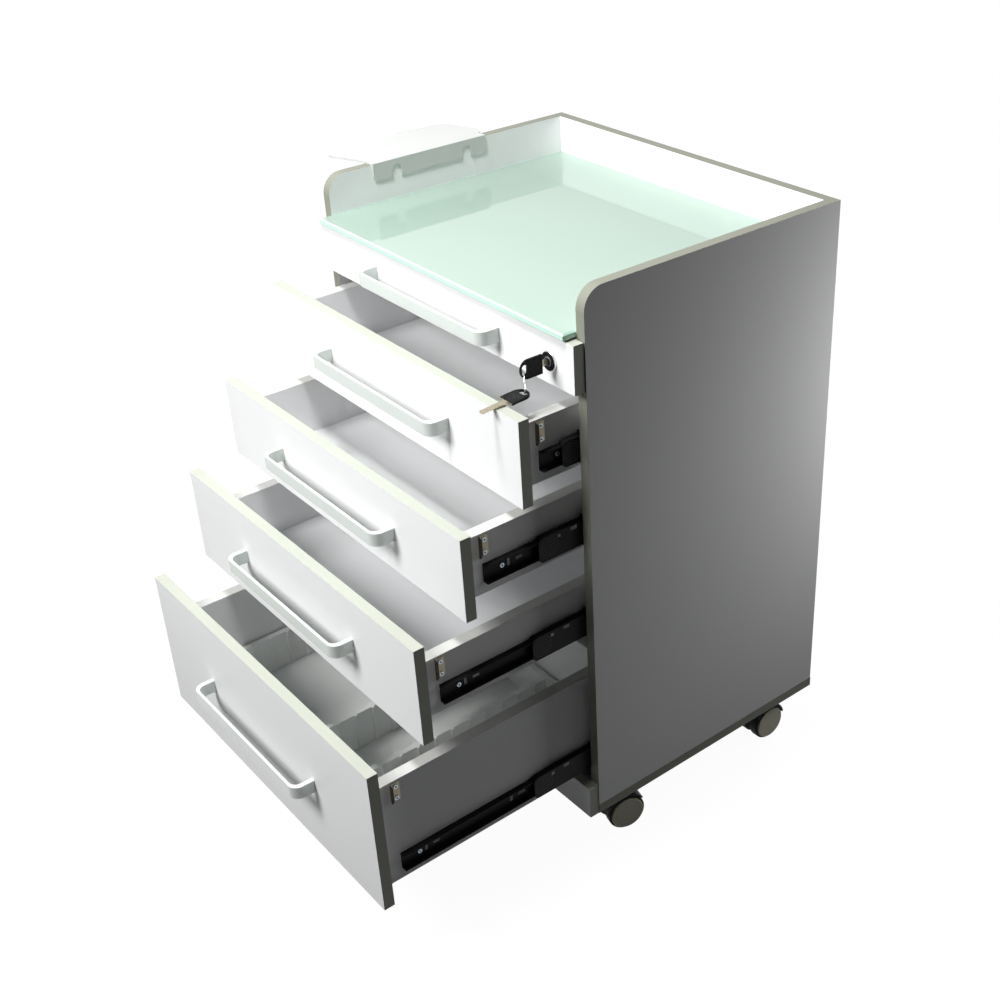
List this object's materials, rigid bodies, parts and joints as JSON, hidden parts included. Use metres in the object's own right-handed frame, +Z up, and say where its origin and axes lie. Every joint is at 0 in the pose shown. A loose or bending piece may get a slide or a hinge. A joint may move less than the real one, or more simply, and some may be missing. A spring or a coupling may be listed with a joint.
{
  "type": "dental drawer cabinet",
  "caption": "Mobile dental drawer cabinet with overlay fronts, bow handles, telescopic runners, glass worktop, side shelf, cam lock with keys and twin-wheel castors.",
  "frame": {"origin": "on the floor, on the centre plane, below the front edges of the carcass's side panels", "axes": "+Z up from the floor, -Y out of the drawer fronts, +X to the right of a user who faces the fronts"},
  "size_m": [0.6892, 0.853, 0.9045],
  "materials": {
    "white_board": "white melamine-faced board with pale green-grey edge banding, satin",
    "worktop_glass": "pale mint back-painted glass, glossy, polished chamfer",
    "clear_pad": "clear soft plastic",
    "runner_steel": "black coated steel, with black plastic ends",
    "bright_steel": "zinc-plated steel",
    "handle_enamel": "white enamel on metal, satin",
    "nickel": "nickel-plated steel",
    "tray_plastic": "translucent grey-white moulded plastic",
    "lock_black": "gloss black zinc casting",
    "key_black": "black plastic heads, brass blades",
    "shelf_acrylic": "milky translucent acrylic",
    "castor_black": "black nylon",
    "castor_cap": "grey-beige plastic"
  },
  "bodies": {
    "cabinet": {"side_panel_left": "white_board", "side_panel_right": "white_board", "back_panel": "white_board", "bottom_panel": "white_board", "deck_panel": "white_board", "front_rail": "white_board", "glass_top": "worktop_glass", "glass_pads": "clear_pad", "runners_outer": "runner_steel", "castor_plates": "bright_steel", "castor_screws": "bright_steel"},
    "drawer_1": {"drawer_1_front": "white_board", "drawer_1_box": "white_board", "drawer_1_handle": "handle_enamel", "drawer_1_runners_inner": "runner_steel", "lock_body": "lock_black"},
    "runner_middle_1": {"drawer_1_runners_middle": "runner_steel"},
    "drawer_2": {"drawer_2_front": "white_board", "drawer_2_box": "white_board", "drawer_2_handle": "handle_enamel", "drawer_2_runners_inner": "runner_steel", "drawer_2_catch": "nickel"},
    "runner_middle_2": {"drawer_2_runners_middle": "runner_steel"},
    "drawer_3": {"drawer_3_front": "white_board", "drawer_3_box": "white_board", "drawer_3_handle": "handle_enamel", "drawer_3_runners_inner": "runner_steel", "drawer_3_catch": "nickel"},
    "runner_middle_3": {"drawer_3_runners_middle": "runner_steel"},
    "drawer_4": {"drawer_4_front": "white_board", "drawer_4_box": "white_board", "drawer_4_handle": "handle_enamel", "drawer_4_runners_inner": "runner_steel", "drawer_4_catch": "nickel"},
    "runner_middle_4": {"drawer_4_runners_middle": "runner_steel"},
    "drawer_5": {"drawer_5_front": "white_board", "drawer_5_box": "white_board", "drawer_5_handle": "handle_enamel", "drawer_5_runners_inner": "runner_steel", "drawer_5_catch": "nickel", "drawer_5_tray": "tray_plastic"},
    "runner_middle_5": {"drawer_5_runners_middle": "runner_steel"},
    "lock_plug": {"lock_plug": "lock_black", "lock_cam": "nickel"},
    "key_in_lock": {"key_in_lock": "key_black"},
    "key_ring": {"key_ring": "nickel"},
    "spare_key": {"spare_key": "key_black"},
    "side_shelf": {"side_shelf": "shelf_acrylic"},
    "castor_front_left": {"castor_front_left_frame": "castor_black"},
    "wheels_front_left": {"castor_front_left_wheels": "castor_black", "castor_front_left_caps": "castor_cap"},
    "castor_front_right": {"castor_front_right_frame": "castor_black"},
    "wheels_front_right": {"castor_front_right_wheels": "castor_black", "castor_front_right_caps": "castor_cap"},
    "castor_back_left": {"castor_back_left_frame": "castor_black"},
    "wheels_back_left": {"castor_back_left_wheels": "castor_black", "castor_back_left_caps": "castor_cap"},
    "castor_back_right": {"castor_back_right_frame": "castor_black"},
    "wheels_back_right": {"castor_back_right_wheels": "castor_black", "castor_back_right_caps": "castor_cap"}
  },
  "joints": [
    {"name": "drawer_1_slide", "type": "slide", "parent": "cabinet", "child": "drawer_1", "axis": [0, -1, 0], "range_m": [0, 0.4]},
    {"name": "runner_middle_1_slide", "type": "slide", "parent": "cabinet", "child": "runner_middle_1", "axis": [0, -1, 0], "range_m": [0, 0.16]},
    {"name": "drawer_2_slide", "type": "slide", "parent": "cabinet", "child": "drawer_2", "axis": [0, -1, 0], "range_m": [-0.088, 0.312]},
    {"name": "runner_middle_2_slide", "type": "slide", "parent": "cabinet", "child": "runner_middle_2", "axis": [0, -1, 0], "range_m": [-0.03098, 0.10983]},
    {"name": "drawer_3_slide", "type": "slide", "parent": "cabinet", "child": "drawer_3", "axis": [0, -1, 0], "range_m": [-0.1847, 0.2153]},
    {"name": "runner_middle_3_slide", "type": "slide", "parent": "cabinet", "child": "runner_middle_3", "axis": [0, -1, 0], "range_m": [-0.07536, 0.08784]},
    {"name": "drawer_4_slide", "type": "slide", "parent": "cabinet", "child": "drawer_4", "axis": [0, -1, 0], "range_m": [-0.2649, 0.1351]},
    {"name": "runner_middle_4_slide", "type": "slide", "parent": "cabinet", "child": "runner_middle_4", "axis": [0, -1, 0], "range_m": [-0.09404, 0.04796]},
    {"name": "drawer_5_slide", "type": "slide", "parent": "cabinet", "child": "drawer_5", "axis": [0, -1, 0], "range_m": [-0.3506, 0.0494]},
    {"name": "runner_middle_5_slide", "type": "slide", "parent": "cabinet", "child": "runner_middle_5", "axis": [0, -1, 0], "range_m": [-0.10501, 0.0148]},
    {"name": "lock_turn", "type": "hinge", "parent": "drawer_1", "child": "lock_plug", "pos_m": [0.2518, -0.0174, 0.7994], "axis": [0, 1, 0], "range_deg": [0, 90]},
    {"name": "key_withdrawal", "type": "slide", "parent": "lock_plug", "child": "key_in_lock", "axis": [0, -1, 0], "range_m": [0, 0.032]},
    {"name": "ring_swing", "type": "hinge", "parent": "key_in_lock", "child": "key_ring", "pos_m": [0.2518, -0.05773, 0.7944], "axis": [-0.766, 0.6428, 0], "range_deg": [0, 10]},
    {"name": "spare_key_swing", "type": "hinge", "parent": "key_ring", "child": "spare_key", "pos_m": [0.2489, -0.0553, 0.76631], "axis": [-0.766, 0.6428, 0], "range_deg": [0, 12]},
    {"name": "shelf_lift_off", "type": "slide", "parent": "cabinet", "child": "side_shelf", "axis": [0, 0, 1], "range_m": [0, 0.03]},
    {"name": "castor_front_left_swivel", "type": "hinge", "parent": "cabinet", "child": "castor_front_left", "pos_m": [-0.264, 0.0445, 0.0725], "axis": [0, 0, 1], "continuous": true},
    {"name": "wheels_front_left_roll", "type": "hinge", "parent": "castor_front_left", "child": "wheels_front_left", "pos_m": [-0.27284, 0.06638, 0.03], "axis": [0.9272, 0.3746, 0], "continuous": true},
    {"name": "castor_front_right_swivel", "type": "hinge", "parent": "cabinet", "child": "castor_front_right", "pos_m": [0.264, 0.0445, 0.0725], "axis": [0, 0, 1], "continuous": true},
    {"name": "wheels_front_right_roll", "type": "hinge", "parent": "castor_front_right", "child": "wheels_front_right", "pos_m": [0.26951, 0.06745, 0.03], "axis": [0.9724, -0.2334, 0], "continuous": true},
    {"name": "castor_back_left_swivel", "type": "hinge", "parent": "cabinet", "child": "castor_back_left", "pos_m": [-0.264, 0.399, 0.0725], "axis": [0, 0, 1], "continuous": true},
    {"name": "wheels_back_left_roll", "type": "hinge", "parent": "castor_back_left", "child": "wheels_back_left", "pos_m": [-0.27508, 0.37816, 0.03], "axis": [-0.8829, 0.4695, 0], "continuous": true},
    {"name": "castor_back_right_swivel", "type": "hinge", "parent": "cabinet", "child": "castor_back_right", "pos_m": [0.264, 0.399, 0.0725], "axis": [0, 0, 1], "continuous": true},
    {"name": "wheels_back_right_roll", "type": "hinge", "parent": "castor_back_right", "child": "wheels_back_right", "pos_m": [0.264, 0.3754, 0.03], "axis": [-1, 0, 0], "continuous": true}
  ],
  "couplings": [
    {"joint": "runner_middle_1_slide", "follows": "drawer_1_slide", "ratio": 0.4},
    {"joint": "runner_middle_2_slide", "follows": "drawer_2_slide", "ratio": 0.352},
    {"joint": "runner_middle_3_slide", "follows": "drawer_3_slide", "ratio": 0.408},
    {"joint": "runner_middle_4_slide", "follows": "drawer_4_slide", "ratio": 0.355},
    {"joint": "runner_middle_5_slide", "follows": "drawer_5_slide", "ratio": 0.2995}
  ]
}
